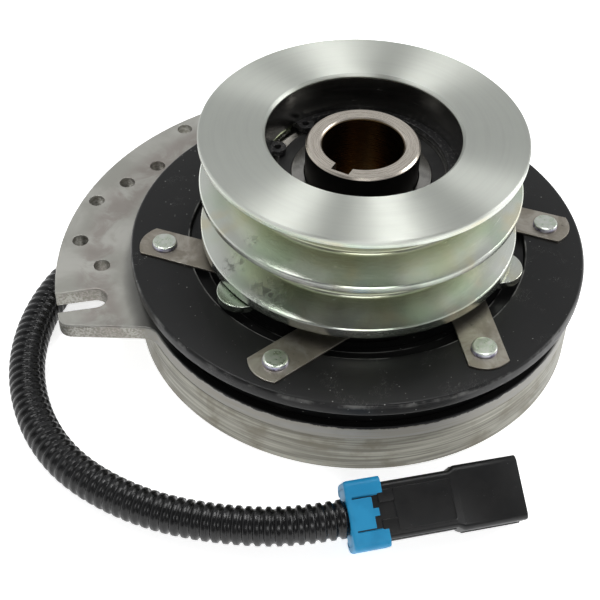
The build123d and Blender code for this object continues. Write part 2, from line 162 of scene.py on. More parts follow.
def boxBar(x, y, z, edge):
    # small block with softened edges, between pairs of x, y and z
    halfY, halfZ = (y[1] - y[0]) / 2, (z[1] - z[0]) / 2
    inset = [(x[0], edge), (x[0] + edge, 0), (x[1] - edge, 0), (x[1], edge)]
    points, faces = barShape([(at, halfY - cut, halfZ - cut, edge) for at, cut in inset])
    return points + np.array([0, (y[0] + y[1]) / 2, (z[0] + z[1]) / 2]), faces


def joined(*shapes):
    points, faces, count = [], [], 0
    for shapePoints, shapeFaces in shapes:
        points.append(shapePoints)
        faces += [[corner + count for corner in face] for face in shapeFaces]
        count += len(shapePoints)
    return np.concatenate(points), faces


def addPiece(name, shape, material, body, replaced=(), sharp=38, edge=0.0):
    mesh = bpy.data.meshes.new(name)
    mesh.from_pydata((shape[0] * mm).tolist(), [], shape[1])
    return finishPiece(name, mesh, material, body, replaced, sharp, edge)


def finishPiece(name, mesh, material, body, replaced, sharp, edge):
    work = bmesh.new()
    work.from_mesh(mesh)
    bmesh.ops.remove_doubles(work, verts=work.verts, dist=2e-6)
    bmesh.ops.dissolve_degenerate(work, dist=1e-6, edges=work.edges)
    bmesh.ops.delete(work, geom=[v for v in work.verts if not v.link_faces], context="VERTS")
    bmesh.ops.recalc_face_normals(work, faces=work.faces)
    work.to_mesh(mesh)
    work.free()
    mesh.shade_smooth()
    mesh.set_sharp_from_angle(angle=radians(sharp))
    mesh.materials.clear()
    mesh.materials.append(material)
    piece = bpy.data.objects.new(name, mesh)
    bpy.context.scene.collection.objects.link(piece)
    if edge:
        bevel = piece.modifiers.new("softEdges", "BEVEL")
        bevel.width, bevel.segments, bevel.angle_limit = edge * mm, 3, radians(40)
        bevel.harden_normals = True
    if body:
        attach(piece, body)
    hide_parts(*replaced)
    return piece


def softenNode(node, material, edge):
    # the node's own shape, merged and with its sharp edges rounded
    mesh = nodes[node].data.copy()
    work = bmesh.new()
    work.from_mesh(mesh)
    bmesh.ops.remove_doubles(work, verts=work.verts, dist=2e-6)
    bmesh.ops.dissolve_limit(work, angle_limit=radians(0.5), verts=work.verts, edges=work.edges)
    work.to_mesh(mesh)
    work.free()
    return finishPiece(node + "_soft", mesh, material, nodes[node]["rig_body"], [node], 30, edge)


slotOf = {part["node"]: part["material_slot"] for part in frame["record"]["subparts"]}


# material building blocks
def addNode(tree, kind, inputs=None, **settings):
    node = tree.nodes.new(kind)
    for key, value in settings.items():
        setattr(node, key, value)
    for key, value in (inputs or {}).items():
        if isinstance(value, bpy.types.NodeSocket):
            tree.links.new(value, node.inputs[key])
        else:
            node.inputs[key].default_value = value
    return node


def calc(tree, operation, first, second=0.0, third=0.0):
    return addNode(tree, "ShaderNodeMath", {0: first, 1: second, 2: third}, operation=operation).outputs[0]


def fade(tree, value, low, high):  # 0 at low, 1 at high, smooth between
    inputs = {"Value": value, "From Min": low, "From Max": high}
    return addNode(tree, "ShaderNodeMapRange", inputs, interpolation_type="SMOOTHSTEP").outputs[0]


def noise(tree, vector, scale, detail=3.0, rough=0.55, warp=0.0):
    inputs = {"Vector": vector, "Scale": scale, "Detail": detail, "Roughness": rough, "Distortion": warp}
    return addNode(tree, "ShaderNodeTexNoise", inputs).outputs[0]


def mixColor(tree, factor, first, second, mode="MIX"):
    first = first if isinstance(first, bpy.types.NodeSocket) else (*first, 1)
    second = second if isinstance(second, bpy.types.NodeSocket) else (*second, 1)
    node = addNode(tree, "ShaderNodeMix", {0: factor, 6: first, 7: second}, data_type="RGBA", blend_type=mode)
    return node.outputs[2]


def places(tree):
    # object position in millimetres, its x, y, z, the distance from the axis and the direction round it
    spot = addNode(tree, "ShaderNodeTexCoord").outputs["Object"]
    scaled = addNode(tree, "ShaderNodeVectorMath", {0: spot, "Scale": 1 / mm}, operation="SCALE").outputs[0]
    x, y, z = addNode(tree, "ShaderNodeSeparateXYZ", {0: scaled}).outputs
    radius = calc(tree, "SQRT", calc(tree, "ADD", calc(tree, "MULTIPLY", x, x), calc(tree, "MULTIPLY", y, y)))
    safe = calc(tree, "MAXIMUM", radius, 0.01)
    return scaled, x, y, z, radius, calc(tree, "DIVIDE", x, safe), calc(tree, "DIVIDE", y, safe)


def turningMarks(tree, place, lines, around, detail=2.0):
    # lathe lines: noise that changes fast with radius and height, and slowly round the axis
    z, radius, east, north = place[3:]
    vector = addNode(tree, "ShaderNodeCombineXYZ", {
        0: calc(tree, "MULTIPLY", radius, lines),
        1: calc(tree, "MULTIPLY", east, around),
        2: calc(tree, "MULTIPLY", north, around),
    }).outputs[0]
    inputs = {"Vector": vector, "W": calc(tree, "MULTIPLY", z, lines), "Scale": 1.0, "Detail": detail}
    return addNode(tree, "ShaderNodeTexNoise", inputs, noise_dimensions="4D").outputs[0]


def spotMask(tree, scaled, centre, size, ragged, threshold):
    # 1 inside a ragged blot of that size about a point, 0 outside
    away = addNode(tree, "ShaderNodeVectorMath", {0: scaled, 1: tuple(centre)}, operation="DISTANCE").outputs[1]
    near = fade(tree, away, size, size * 0.4)
    grain = noise(tree, scaled, ragged, 5, 0.65)
    return calc(tree, "MULTIPLY", near, fade(tree, grain, threshold, threshold + 0.06))


def addBump(tree, height, strength, distance, under=None):
    inputs = {"Height": height, "Strength": strength, "Distance": distance * mm}
    if under is not None:
        inputs["Normal"] = under
    return addNode(tree, "ShaderNodeBump", inputs).outputs[0]


def startMaterial(name, sockets):
    material = bpy.data.materials.new(name)
    material.use_nodes = True
    tree = material.node_tree
    shader = tree.nodes["Principled BSDF"]
    for key, value in sockets.items():
        shader.inputs[key].default_value = value
    return material, tree, shader, places(tree)


def wire(tree, shader, **links):
    names = {"color": "Base Color", "rough": "Roughness", "normal": "Normal", "metal": "Metallic", "tangent": "Tangent"}
    for key, socket in links.items():
        tree.links.new(socket, shader.inputs[names[key]])


# materials
zincLook = {
    "pale": (0.61, 0.63, 0.58), "green": (0.51, 0.58, 0.48), "yellow": (0.60, 0.58, 0.45),
    "smudge": (0.07, 0.07, 0.065), "paintedBoreShade": (0.17, 0.165, 0.155), "seat": 34.0, "smoothness": 0.24,
    "grimeAndGrooveShade": (0.27, 0.29, 0.19), "deep": (45.0, 56.5),  # painted shade down in the grooves, between these radii
}


def zincPlate(name, smudges=(), anisotropy=0.95):
    look = zincLook
    material, tree, shader, place = startMaterial(name, {"Metallic": 1.0, "Anisotropic Rotation": 0.25})
    scaled, z, radius = place[0], *place[3:5]
    walls = fade(tree, z, 82.6, 81.0)  # the colour of the plating shows on the walls, not on the faced top
    tint = calc(tree, "MULTIPLY", fade(tree, noise(tree, scaled, 0.045, 2), 0.40, 0.66), walls)
    color = mixColor(tree, tint, look["pale"], look["green"])
    tint = calc(tree, "MULTIPLY", fade(tree, noise(tree, scaled, 0.06, 3), 0.50, 0.70), walls)
    color = mixColor(tree, tint, color, look["yellow"])
    # painted shade: groove walls darker towards the groove floor
    deep = calc(tree, "MULTIPLY", fade(tree, radius, look["deep"][1], look["deep"][0]), walls)
    color = mixColor(tree, calc(tree, "MULTIPLY", deep, 0.8), color, look["grimeAndGrooveShade"])
    # painted shade on the bore wall above the bearing seat
    seat = calc(tree, "MULTIPLY", fade(tree, radius, look["seat"] + 1.4, look["seat"] + 0.7), walls)
    color = mixColor(tree, seat, color, look["paintedBoreShade"])
    fine = turningMarks(tree, place, 5.0, 3.0, 3)
    wide = turningMarks(tree, place, 0.9, 1.5, 2)
    color = mixColor(tree, calc(tree, "MULTIPLY", fade(tree, wide, 0.4, 0.7), 0.18), color, (0.5, 0.5, 0.48))
    grimeAndGrooveShade = None
    for centre, size, ragged in smudges:
        mask = spotMask(tree, scaled, centre, size, ragged, 0.50)
        grimeAndGrooveShade = mask if grimeAndGrooveShade is None else calc(tree, "MAXIMUM", grimeAndGrooveShade, mask)
    rough = calc(tree, "MULTIPLY_ADD", fine, 0.16, look["smoothness"])
    rough = calc(tree, "MULTIPLY_ADD", noise(tree, scaled, 0.25, 4), 0.10, rough)
    rough = calc(tree, "MULTIPLY_ADD", walls, -0.24, calc(tree, "ADD", rough, 0.10))
    tree.links.new(calc(tree, "MULTIPLY_ADD", walls, -0.45, anisotropy), shader.inputs["Anisotropic"])
    if grimeAndGrooveShade is not None:
        color = mixColor(tree, calc(tree, "MULTIPLY", grimeAndGrooveShade, 0.85), color, look["smudge"])
        rough = calc(tree, "MULTIPLY_ADD", grimeAndGrooveShade, 0.25, rough)
    lines = addBump(tree, fine, 0.35, 0.05)
    lines = addBump(tree, noise(tree, scaled, 1.6, 4), 0.12, 0.05, lines)
    tangent = addNode(tree, "ShaderNodeTangent", direction_type="RADIAL", axis="Z").outputs[0]
    wire(tree, shader, color=color, rough=rough, normal=lines, tangent=tangent)
    return material


def bareSteel(name, bright, dull, stain, marks, fringe=None):
    # turned or rolled steel: fine lines, brown stain, small dark marks and a fringe of black paint
    material, tree, shader, place = startMaterial(name, {"Metallic": 0.85})
    scaled, y, z = place[0], *place[2:4]
    streaks = turningMarks(tree, place, 1.1, 2.2, 4)
    fine = turningMarks(tree, place, 6.0, 5.0, 2)
    color = mixColor(tree, fade(tree, streaks, 0.35, 0.65), dull, bright)
    blotch = noise(tree, scaled, 0.055, 4, 0.6, 0.4)
    color = mixColor(tree, calc(tree, "MULTIPLY", fade(tree, blotch, 0.47, 0.66), 0.75), color, stain)
    speck = noise(tree, scaled, 0.42, 5, 0.7, 1.2)
    specks = fade(tree, speck, 0.665, 0.72)
    color = mixColor(tree, calc(tree, "MULTIPLY", specks, marks), color, (0.06, 0.055, 0.05))
    rough = calc(tree, "MULTIPLY_ADD", blotch, 0.35, 0.22)
    rough = calc(tree, "MULTIPLY_ADD", fine, 0.10, rough)
    if fringe:
        height, depth, front = fringe
        ragged = calc(tree, "MULTIPLY_ADD", noise(tree, scaled, 0.22, 5, 0.7), depth, z)
        paint = calc(tree, "MULTIPLY", fade(tree, ragged, height, height + 0.25), fade(tree, y, front, front - 12))
        color = mixColor(tree, paint, color, (0.012, 0.012, 0.012))
    normal = addBump(tree, fine, 0.30, 0.06)
    normal = addBump(tree, speck, 0.20, 0.12, normal)
    wire(tree, shader, color=color, rough=rough, normal=normal)
    return material


def plateSteel(name):
    # pressed plate: pale at its edges and round the holes, brown-mauve between the rows of holes
    look = {"pale": (0.47, 0.465, 0.43), "dull": (0.38, 0.375, 0.34), "stain": (0.27, 0.235, 0.215)}
    material, tree, shader, place = startMaterial(name, {"Metallic": 0.75})
    scaled, y, z, radius = place[0], *place[2:5]
    grain = noise(tree, scaled, 0.9, 5, 0.65)
    cloud = noise(tree, scaled, 0.05, 4, 0.6, 0.5)
    color = mixColor(tree, fade(tree, cloud, 0.35, 0.65), look["dull"], look["pale"])
    band = calc(tree, "MULTIPLY", fade(tree, radius, 87, 93), fade(tree, radius, 107, 99))
    stain = calc(tree, "MULTIPLY", band, fade(tree, noise(tree, scaled, 0.075, 5, 0.6, 0.8), 0.38, 0.60))
    color = mixColor(tree, calc(tree, "MULTIPLY", stain, 0.65), color, look["stain"])
    shade = fade(tree, radius, 88, 83)
    color = mixColor(tree, calc(tree, "MULTIPLY", shade, 0.55), color, (0.10, 0.10, 0.10))
    color = mixColor(tree, fade(tree, noise(tree, scaled, 0.6, 5, 0.7), 0.70, 0.76), color, (0.14, 0.13, 0.12))
    streaks = turningMarks(tree, place, 1.3, 2.4, 4)
    side = fade(tree, z, 21.7, 21.2)
    color = mixColor(tree, calc(tree, "MULTIPLY", side, fade(tree, streaks, 0.4, 0.6)), color, (0.24, 0.23, 0.20))
    ragged = calc(tree, "MULTIPLY_ADD", noise(tree, scaled, 0.16, 5, 0.7), 3.4, z)  # paint run over the rim in front
    fringe = calc(tree, "MULTIPLY", fade(tree, ragged, 22.6, 23.0), fade(tree, y, -30, -52))
    color = mixColor(tree, fringe, color, (0.012, 0.012, 0.012))
    rough = calc(tree, "MULTIPLY_ADD", cloud, 0.3, 0.28)
    normal = addBump(tree, grain, 0.25, 0.06)
    wire(tree, shader, color=color, rough=rough, normal=normal)
    return material


def blackCoat(name, rim=None, steps=()):
    # semi-gloss coat with dust and hair scratches, a painted highlight along the outer rim and painted highlights on
    # the lips of the inner steps
    material, tree, shader, place = startMaterial(name, {
        "Metallic": 0.0, "IOR": 1.45, "Specular IOR Level": 0.32, "Coat Weight": 0.04})
    scaled, z, radius = place[0], *place[3:5]
    cloud = noise(tree, scaled, 0.05, 4)
    color = mixColor(tree, cloud, (0.0028, 0.0028, 0.0031), (0.0065, 0.0065, 0.0065))
    dust = addNode(tree, "ShaderNodeTexVoronoi", {"Vector": scaled, "Scale": 0.55}).outputs["Distance"]
    dots = calc(tree, "MULTIPLY", fade(tree, dust, 0.16, 0.07), fade(tree, noise(tree, scaled, 0.35, 2), 0.56, 0.64))
    hairs = noise(tree, scaled, 0.16, 3, 0.5, 5.0)
    hair = calc(tree, "MULTIPLY", fade(tree, calc(tree, "ABSOLUTE", calc(tree, "SUBTRACT", hairs, 0.5)), 0.006, 0.001),
                fade(tree, noise(tree, scaled, 0.09, 2), 0.56, 0.66))
    wearAndPaintedHighlight = calc(tree, "MAXIMUM", dots, calc(tree, "MULTIPLY", hair, 0.5))
    if rim:
        # painted highlight: a ragged lighter line just inside the outer rim, near its top
        edge = fade(tree, radius, rim[0] - 0.7, rim[0] - 0.3)
        edge = calc(tree, "MULTIPLY", edge, fade(tree, z, rim[1] - 2.2, rim[1] - 0.6))
        edge = calc(tree, "MULTIPLY", edge, fade(tree, noise(tree, scaled, 0.10, 5, 0.6), 0.44, 0.62))
        wearAndPaintedHighlight = calc(tree, "MAXIMUM", wearAndPaintedHighlight, calc(tree, "MULTIPLY", edge, 0.4))
    for stepRadius, stepTop in steps:  # painted highlights along the lips of the inner steps
        lipHighlight = fade(tree, calc(tree, "ABSOLUTE", calc(tree, "SUBTRACT", radius, stepRadius)), 0.55, 0.15)
        lipHighlight = calc(tree, "MULTIPLY", lipHighlight, fade(tree, z, stepTop - 0.6, stepTop - 0.1))
        lipHighlight = calc(tree, "MULTIPLY", lipHighlight, fade(tree, noise(tree, scaled, 0.06, 3), 0.42, 0.56))
        wearAndPaintedHighlight = calc(tree, "MAXIMUM", wearAndPaintedHighlight, calc(tree, "MULTIPLY", lipHighlight, 0.85))
    color = mixColor(tree, wearAndPaintedHighlight, color, (0.24, 0.24, 0.23))
    rough = calc(tree, "MULTIPLY_ADD", noise(tree, scaled, 0.4, 4), 0.22, 0.30)
    normal = addBump(tree, noise(tree, scaled, 1.3, 4, 0.6), 0.16, 0.12)
    wire(tree, shader, color=color, rough=rough, normal=normal)
    return material


def stripSteel(name):
    # rolled spring strip, brown-grey and smudged
    material, tree, shader, place = startMaterial(name, {"Metallic": 0.95})
    scaled, radius = place[0], place[4]
    cloud = noise(tree, scaled, 0.09, 4, 0.6, 0.6)
    color = mixColor(tree, fade(tree, cloud, 0.35, 0.62), (0.44, 0.41, 0.36), (0.26, 0.235, 0.195))
    smudge = fade(tree, noise(tree, scaled, 0.35, 5, 0.7), 0.62, 0.72)
    color = mixColor(tree, calc(tree, "MULTIPLY", smudge, 0.7), color, (0.10, 0.09, 0.08))
    shade = fade(tree, radius, 62, 56)
    color = mixColor(tree, calc(tree, "MULTIPLY", shade, 0.5), color, (0.10, 0.09, 0.075))
    rough = calc(tree, "MULTIPLY_ADD", cloud, 0.30, 0.22)
    normal = addBump(tree, noise(tree, scaled, 2.2, 4), 0.12, 0.05)
    wire(tree, shader, color=color, rough=rough, normal=normal)
    return material


def rivetZinc(name, headTop):
    # yellow-green plate on the crown, violet-blue down the side of the head
    material, tree, shader, place = startMaterial(name, {"Metallic": 1.0})
    scaled, z = place[0], place[3]
    cloud = noise(tree, scaled, 0.5, 4)
    crown = mixColor(tree, fade(tree, cloud, 0.4, 0.6), (0.56, 0.62, 0.52), (0.66, 0.68, 0.63))
    side = mixColor(tree, fade(tree, cloud, 0.4, 0.6), (0.44, 0.42, 0.60), (0.60, 0.60, 0.68))
    color = mixColor(tree, fade(tree, z, headTop - 0.75, headTop - 0.15), side, crown)
    rough = calc(tree, "MULTIPLY_ADD", noise(tree, scaled, 0.5, 3), 0.14, 0.22)
    normal = addBump(tree, noise(tree, scaled, 0.5, 2), 0.08, 0.06)
    wire(tree, shader, color=color, rough=rough, normal=normal)
    return material


def groundSteel(name, boreRadius, outerRadius, topHeight):
    # ground end face, painted shade down the outer wall, and a bore with golden oil stain
    material, tree, shader, place = startMaterial(name, {"Metallic": 1.0, "Anisotropic": 0.35})
    z, radius, east, north = place[3:]
    fine = turningMarks(tree, place, 5.5, 2.5, 2)
    color = mixColor(tree, fade(tree, fine, 0.35, 0.65), (0.50, 0.45, 0.39), (0.64, 0.59, 0.52))
    inside = fade(tree, radius, boreRadius + 0.5, boreRadius + 0.15)
    streak = addNode(tree, "ShaderNodeCombineXYZ", {0: calc(tree, "MULTIPLY", east, 4.0),
                     1: calc(tree, "MULTIPLY", north, 4.0), 2: calc(tree, "MULTIPLY", z, 0.02)}).outputs[0]
    gold = mixColor(tree, fade(tree, noise(tree, streak, 0.07, 3), 0.40, 0.62), (0.09, 0.065, 0.04), (0.55, 0.37, 0.15))
    color = mixColor(tree, inside, color, gold)
    # painted shade: the outer wall, below its top edge, near black
    outside = calc(tree, "MULTIPLY", fade(tree, radius, outerRadius - 0.25, outerRadius - 0.05),
                   fade(tree, z, topHeight - 0.5, topHeight - 1.0))
    color = mixColor(tree, outside, color, (0.035, 0.033, 0.032))
    rough = calc(tree, "MULTIPLY_ADD", fine, 0.16, 0.20)
    rough = calc(tree, "MULTIPLY_ADD", outside, 0.15, rough)
    normal = addBump(tree, fine, 0.25, 0.04)
    tangent = addNode(tree, "ShaderNodeTangent", direction_type="RADIAL", axis="Z").outputs[0]
    wire(tree, shader, color=color, rough=rough, normal=normal, tangent=tangent)
    return material


def polishedSteel(name, base=(0.66, 0.64, 0.60)):
    material, tree, shader, place = startMaterial(name, {"Metallic": 1.0})
    scaled = place[0]
    fine = turningMarks(tree, place, 4.0, 2.0, 2)
    color = mixColor(tree, fade(tree, noise(tree, scaled, 0.2, 4), 0.45, 0.7), base, tuple(c * 0.7 for c in base))
    rough = calc(tree, "MULTIPLY_ADD", fine, 0.14, 0.10)
    wire(tree, shader, color=color, rough=rough, normal=addBump(tree, fine, 0.15, 0.03))
    return material


def blackOxide(name):
    material, tree, shader, place = startMaterial(name, {"Metallic": 0.7})
    scaled = place[0]
    rub = fade(tree, noise(tree, scaled, 0.9, 5, 0.7), 0.52, 0.68)
    color = mixColor(tree, calc(tree, "MULTIPLY", rub, 0.6), (0.04, 0.04, 0.041), (0.30, 0.29, 0.28))
    rough = calc(tree, "MULTIPLY_ADD", rub, -0.12, 0.42)
    wire(tree, shader, color=color, rough=rough, normal=addBump(tree, noise(tree, scaled, 3.0, 4), 0.2, 0.05))
    return material


def moulded(name, dark, light, roughness, grain=1.8, bump=0.12, coat=0.0, scuff=0.0):
    # moulded plastic or rubber: fine grain, slow change of shade and a few scuffs
    material, tree, shader, place = startMaterial(name, {
        "IOR": 1.48, "Specular IOR Level": 0.38, "Coat Weight": coat, "Coat Roughness": 0.15})
    scaled = place[0]
    cloud = noise(tree, scaled, 0.12, 4)
    color = mixColor(tree, fade(tree, cloud, 0.35, 0.65), dark, light)
    if scuff:
        mark = fade(tree, noise(tree, scaled, 0.38, 5, 0.75, 1.5), 0.665, 0.72)
        color = mixColor(tree, calc(tree, "MULTIPLY", mark, scuff), color, (0.30, 0.30, 0.30))
    rough = calc(tree, "MULTIPLY_ADD", noise(tree, scaled, 0.5, 4), 0.18, roughness)
    wire(tree, shader, color=color, rough=rough, normal=addBump(tree, noise(tree, scaled, grain, 5, 0.6), bump, 0.08))
    return material


def woundCopper(name):
    material, tree, shader, place = startMaterial(name, {"Metallic": 0.9, "Coat Weight": 0.6})
    z, radius = place[3], place[4]
    rows = calc(tree, "ABSOLUTE", calc(tree, "SINE", calc(tree, "MULTIPLY", calc(tree, "ADD", z, radius), 4.5)))
    color = mixColor(tree, rows, (0.30, 0.10, 0.04), (0.72, 0.32, 0.14))
    rough = calc(tree, "MULTIPLY_ADD", rows, -0.15, 0.40)
    wire(tree, shader, color=color, rough=rough, normal=addBump(tree, rows, 0.8, 0.3))
    return material


# the camera and the floor
view = {"place": (-20.4, -364.2, 355.8), "pitch": 44.21, "roll": 1.522, "lens": 79.0}


def addCamera():
    camera = bpy.data.cameras.new("camera")
    camera.lens, camera.sensor_width = view["lens"], 36
    holder = bpy.data.objects.new("camera", camera)
    pitch, roll = radians(view["pitch"]), radians(view["roll"])
    right, back = np.array([1, 0, 0]), np.array([0, -cos(pitch), sin(pitch)])
    up = np.cross(back, right)
    turned = np.stack([right * cos(roll) + up * sin(roll), up * cos(roll) - right * sin(roll), back], 1)
    holder.matrix_world = Matrix.Translation(np.array(view["place"]) * mm) @ Matrix(turned.tolist()).to_4x4()
    bpy.context.scene.collection.objects.link(holder)
    bpy.context.scene.camera = holder


def addLight(name, place, aim, size, power, color=(1, 1, 1)):
    lamp = bpy.data.lights.new(name, "AREA")
    lamp.shape, lamp.size, lamp.size_y, lamp.energy, lamp.color = "RECTANGLE", size[0], size[1], power, color
    holder = bpy.data.objects.new(name, lamp)
    back = np.array(place, float) - np.array(aim, float)
    back = back / np.linalg.norm(back)
    side = np.array([1, 0, 0]) - back * back[0]
    side = side / np.linalg.norm(side)
    turned = np.stack([side, np.cross(back, side), back], 1)
    holder.matrix_world = Matrix.Translation(place) @ Matrix(turned.tolist()).to_4x4()
    bpy.context.scene.collection.objects.link(holder)


studio = {
    "front": 0.18, "back": 0.44, "sides": 0.50, "floorGlow": 0.70,
    "softboxes": [
        ("leftSoftbox", (-0.36, 0.22, 1.12), (0.15, 0.50), 3.0),
        ("rightSoftbox", (0.20, 0.24, 1.16), (0.12, 0.45), 2.7),
        ("frontSoftbox", (0.10, -0.95, 0.80), (0.60, 0.30), 3.5),
        ("sideSoftbox", (1.05, 0.25, 0.55), (0.30, 0.60), 4.0),
    ],
}


def addStudio():
    world = bpy.data.worlds.new("studio")
    world.use_nodes = True
    bpy.context.scene.world = world
    tree = world.node_tree
    ray = addNode(tree, "ShaderNodeTexCoord").outputs["Generated"]
    x, y, z = addNode(tree, "ShaderNodeSeparateXYZ", {0: ray}).outputs
    sides = fade(tree, calc(tree, "ABSOLUTE", x), 0.35, 0.95)  # pale walls left and right, a dim one behind the camera
    back = fade(tree, y, -0.3, 0.7)
    glow = calc(tree, "MULTIPLY_ADD", sides, studio["sides"], studio["front"])
    glow = calc(tree, "MULTIPLY_ADD", back, studio["back"], glow)
    glow = calc(tree, "MULTIPLY", glow, calc(tree, "MULTIPLY_ADD", fade(tree, z, 0.55, 0.95), -0.35, 1.0))
    tree.links.new(glow, tree.nodes["Background"].inputs["Strength"])
    tree.nodes["Background"].inputs["Color"].default_value = (0.98, 0.99, 1, 1)
    for name, place, size, power in studio["softboxes"]:
        addLight(name, place, (0, 0, 0.04), size, power)
    scene = bpy.context.scene
    scene.view_settings.view_transform = "Standard"
    scene.view_settings.look = "None"
    scene.view_settings.exposure = 0.0


def addFloor():
    material, tree, shader, place = startMaterial("paperFloor", {
        "Roughness": 0.9, "Specular IOR Level": 0.1,
        "Emission Color": (1, 1, 1, 1), "Emission Strength": studio["floorGlow"]})
    grain = noise(tree, place[0], 0.02, 3)
    wire(tree, shader, color=mixColor(tree, grain, (0.90, 0.90, 0.90), (0.93, 0.93, 0.93)))
    mesh = bpy.data.meshes.new("floor")
    mesh.from_pydata([(x, y, -0.0001) for x, y in ((-3, -3), (3, -3), (3, 3), (-3, 3))], [], [(0, 1, 2, 3)])
    mesh.materials.append(material)
    floor = bpy.data.objects.new("floor", mesh)
    bpy.context.scene.collection.objects.link(floor)


addCamera()
addStudio()
addFloor()
print("camera, lights and floor ready")

# the lead: convoluted loom along one smooth curve
loom = {
    "radius": 6.4, "valley": 5.5, "pitch": 3.35, "ridgeShare": 0.56, "samplesPerRib": 10,
    "around": 56, "seamWidth": 5.0, "seamDepth": 0.55, "length": 0.2367,
    "route": [
        (-0.0835, 0.0320, 0.0065), (-0.0955, 0.0230, 0.0065), (-0.1059, 0.0108, 0.0065), (-0.1134, -0.0033, 0.0065),
        (-0.1179, -0.0197, 0.0065), (-0.1189, -0.0377, 0.0065), (-0.1158, -0.0554, 0.0065), (-0.1087, -0.0725, 0.0065),
        (-0.0979, -0.0870, 0.0065), (-0.0833, -0.0979, 0.0065), (-0.0664, -0.1059, 0.0069), (-0.0481, -0.1109, 0.0083),
        (-0.0299, -0.1134, 0.0101), (-0.0155, -0.1125, 0.0108), (-0.0038, -0.1096, 0.0108),
    ],
}


def loomLine():
    # the route's NURBS curve, read back as points evenly spaced along it
    curve = bpy.data.curves.new("loomRoute", "CURVE")
    curve.dimensions, curve.resolution_u = "3D", 24
    spline = curve.splines.new("NURBS")
    spline.points.add(len(loom["route"]) - 1)
    flat = np.array([(*point, 1) for point in loom["route"]])
    spline.points.foreach_set("co", flat.ravel())
    spline.order_u, spline.use_endpoint_u = 3, True
    holder = bpy.data.objects.new("loomRoute", curve)
    mesh = bpy.data.meshes.new_from_object(holder)
    line = np.empty(len(mesh.vertices) * 3)
    mesh.vertices.foreach_get("co", line)
    bpy.data.objects.remove(holder)
    line = line.reshape(-1, 3) / mm
    along = np.concatenate([[0], np.cumsum(np.linalg.norm(np.diff(line, axis=0), axis=1))])
    ribs = int(round(along[-1] / loom["pitch"]))
    even = np.linspace(0, along[-1], ribs * loom["samplesPerRib"] + 1)
    return np.stack([np.interp(even, along, line[:, axis]) for axis in range(3)], 1), even, ribs


def loomShape():
    # radius(s, a): flat-topped ribs by tanh of a sine along s, with a lengthwise split at one angle
    line, along, ribs = loomLine()
    ahead = np.gradient(line, axis=0)
    ahead /= np.linalg.norm(ahead, axis=1)[:, None]
    side = np.cross(ahead, [0, 0, 1])
    side /= np.linalg.norm(side, axis=1)[:, None]
    above = np.cross(side, ahead)
    angle = np.arange(loom["around"]) * 2 * pi / loom["around"]
    wave = np.cos(2 * pi * along / along[-1] * ribs)
    ridge = 0.5 - 0.5 * np.tanh(3.2 * (wave - cos(pi * (1 - loom["ridgeShare"])))) / np.tanh(3.2 * 1.3)
    ridge = np.clip(ridge, 0, 1)
    ridge[0] = ridge[-1] = 0
    radius = loom["valley"] + (loom["radius"] - loom["valley"]) * ridge[:, None]
    seamAngle = radians(148)
    offset = np.abs((angle - seamAngle + pi) % (2 * pi) - pi) * np.degrees(1)
    seam = np.exp(-(offset / loom["seamWidth"]) ** 4)
    radius = radius - loom["seamDepth"] * seam[None, :]
    points = line[:, None] + radius[..., None] * (
        np.cos(angle)[None, :, None] * side[:, None] + np.sin(angle)[None, :, None] * above[:, None])
    rows, columns = radius.shape
    faces = gridFaces(rows, columns).tolist()
    faces += [list(range(columns)), list(range((rows - 1) * columns, rows * columns))[::-1]]
    return (points.reshape(-1, 3), faces), line


loomPlastic = moulded("loomPlastic", (0.0020, 0.0020, 0.0023), (0.0045, 0.0045, 0.005), 0.18, 2.5, 0.10, 0.06, 0.2)
loomParts, loomPath = loomShape()
loomPiece = addPiece("convoluted_loom", loomParts, loomPlastic, "field", ["wire_loom"], 60)
print("loom made:", len(loomPath), "rings")

# the plug at the lead's end
plug = {
    "start": (-3.8, -109.6, 10.8), "before": (-15.5, -112.5), "roll": 32.0,
    "bodyHalf": (9.2, 5.8), "bodyFrom": 1.6, "bodyRound": 1.6, "stepAt": 35.0, "shroudHalf": (10.6, 6.4), "end": 58.0,
    "wall": 1.5, "socketFloor": 39.0, "lockHalf": (11.4, 6.4), "lockLength": 12.0, "slitAt": (5.1, 5.9),
    "tongueEnd": (1.9, 8.2, 10.0), "nubHalf": 1.3, "windowFrom": 7.0,
}
heading = np.array(plug["start"][:2]) - np.array(plug["before"])
heading = heading / np.linalg.norm(heading)


def onPlug(shape):
    # plug coordinates to the frame: start + x * heading + y * left + z * top, rolled towards the front
    points, faces = shape
    roll, up = radians(plug["roll"]), np.array([0, 0, 1.0])
    forward, level = np.array([*heading, 0]), np.array([-heading[1], heading[0], 0])
    left, top = level * cos(roll) + up * sin(roll), up * cos(roll) - level * sin(roll)
    return np.array(plug["start"]) + points[:, :1] * forward + points[:, 1:2] * left + points[:, 2:] * top, faces


def onSide(side, near, far):
    return tuple(sorted((side * near, side * far)))


